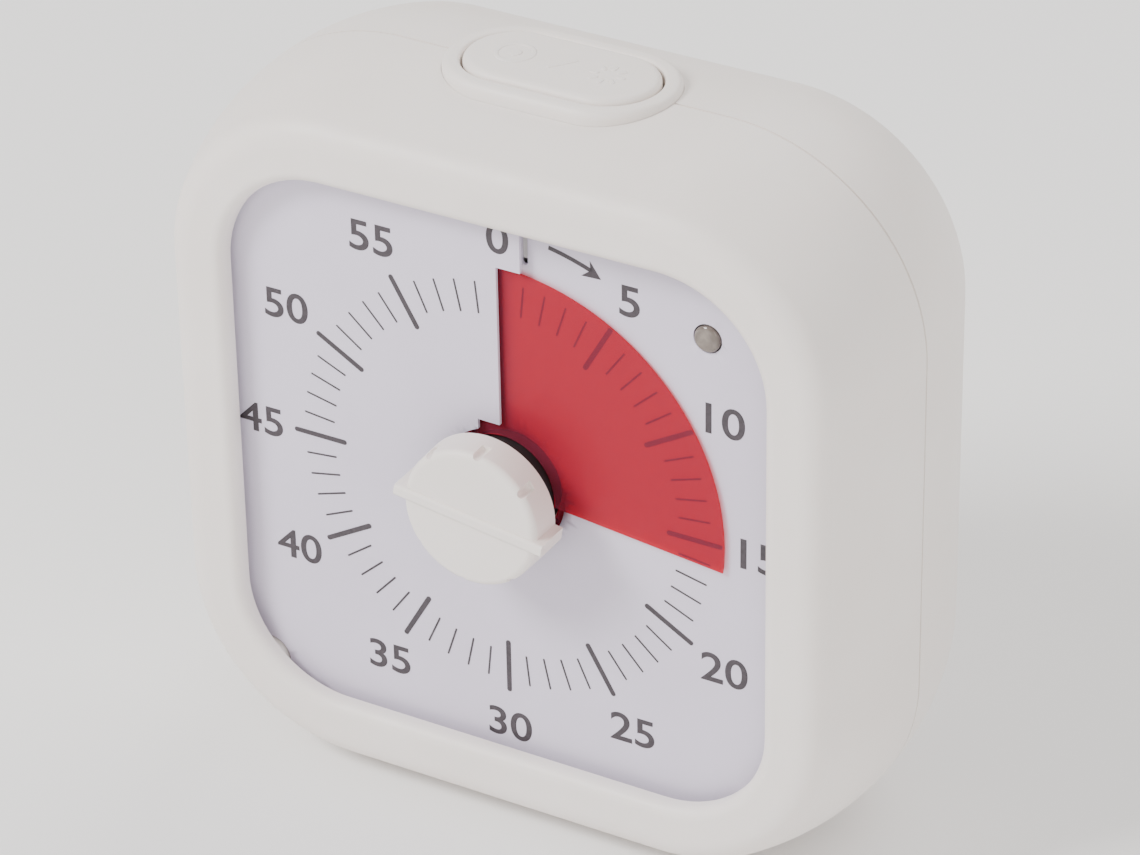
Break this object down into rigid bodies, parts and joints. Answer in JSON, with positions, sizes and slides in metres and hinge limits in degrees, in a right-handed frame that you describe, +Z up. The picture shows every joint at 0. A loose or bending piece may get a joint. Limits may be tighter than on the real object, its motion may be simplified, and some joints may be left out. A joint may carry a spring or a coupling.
{
  "type": "visual countdown timer",
  "caption": "Square countdown timer with rounded corners: a centre knob turns a red film disc up through a slit in a printed minute dial, with a pill-shaped push button on top.",
  "frame": {"origin": "on the base flat, below the widest section of the case, at mid width", "axes": "+X to the right seen from the front, +Y from the dial to the back, +Z up"},
  "size_m": [0.085, 0.0405, 0.0856],
  "materials": {
    "case_shell": "fine matt moulded ABS",
    "card": "printed polypropylene sheet",
    "film": "glossy tinted film",
    "carrier_plastic": "moulded ABS",
    "gear_plastic": "moulded acetal",
    "black_plastic": "moulded black plastic",
    "steel": "plated steel",
    "brass": "turned brass",
    "board": "solder-masked laminate",
    "components": "moulded component bodies",
    "light_lens": "clear epoxy lens",
    "cell_jacket": "plain shrink film"
  },
  "bodies": {
    "housing": {"front_case": "case_shell", "rear_case": "case_shell", "button_collar": "case_shell", "dial_card": "card", "dial_carrier": "carrier_plastic", "movement_base": "carrier_plastic", "movement_cover": "carrier_plastic", "spindle_bush": "brass", "idler_axle": "steel", "stepper_motor": "steel", "main_board": "board", "board_parts": "components", "tact_switch": "steel", "signal_light": "light_lens", "light_legs": "steel", "speaker_frame": "steel", "speaker_cone": "black_plastic", "slide_switch": "steel", "battery_tray": "carrier_plastic", "battery_upper": "cell_jacket", "battery_lower": "cell_jacket", "battery_springs": "steel", "battery_plates": "steel", "case_screws": "steel", "movement_screws": "steel", "board_screws": "steel"},
    "dial_spindle": {"time_knob": "case_shell", "spindle_shaft": "steel", "disc_hub": "black_plastic", "spindle_wheel": "gear_plastic", "clutch_washer": "steel", "retaining_clip": "steel"},
    "disc": {"time_disc": "film"},
    "idler": {"idler_wheel": "gear_plastic"},
    "rotor": {"motor_pinion": "gear_plastic", "rotor_shaft": "steel"},
    "button": {"top_button": "case_shell", "switch_plunger": "black_plastic"},
    "slider": {"volume_slider": "black_plastic"},
    "door": {"battery_door": "case_shell"}
  },
  "joints": [
    {"name": "spindle_turn", "type": "hinge", "parent": "housing", "child": "dial_spindle", "pos_m": [0, 0, 0.0417], "axis": [0, 1, 0], "range_deg": [-96, 264]},
    {"name": "disc_climb", "type": "slide", "parent": "dial_spindle", "child": "disc", "axis": [0, -1, 0], "range_m": [-0.00032, 0.00088]},
    {"name": "idler_turn", "type": "hinge", "parent": "housing", "child": "idler", "pos_m": [-0.01299, 0, 0.0342], "axis": [0, 1, 0], "range_deg": [-1057, 385]},
    {"name": "rotor_turn", "type": "hinge", "parent": "housing", "child": "rotor", "pos_m": [-0.00496, 0, 0.02462], "axis": [0, 1, 0], "range_deg": [-1537, 4225]},
    {"name": "button_press", "type": "slide", "parent": "housing", "child": "button", "axis": [0, 0, -1], "range_m": [0, 0.0008], "stiffness_N_per_m": 600, "springref_m": -0.0004},
    {"name": "volume_slide", "type": "slide", "parent": "housing", "child": "slider", "axis": [0, 0, 1], "range_m": [-0.003, 0.003]},
    {"name": "door_pull", "type": "slide", "parent": "housing", "child": "door", "axis": [0, 1, 0], "range_m": [0, 0.02]}
  ],
  "couplings": [
    {"joint": "disc_climb", "follows": "spindle_turn", "m_per_rad": 0.00019099},
    {"joint": "idler_turn", "follows": "spindle_turn", "ratio": -4},
    {"joint": "rotor_turn", "follows": "spindle_turn", "ratio": 16}
  ]
}
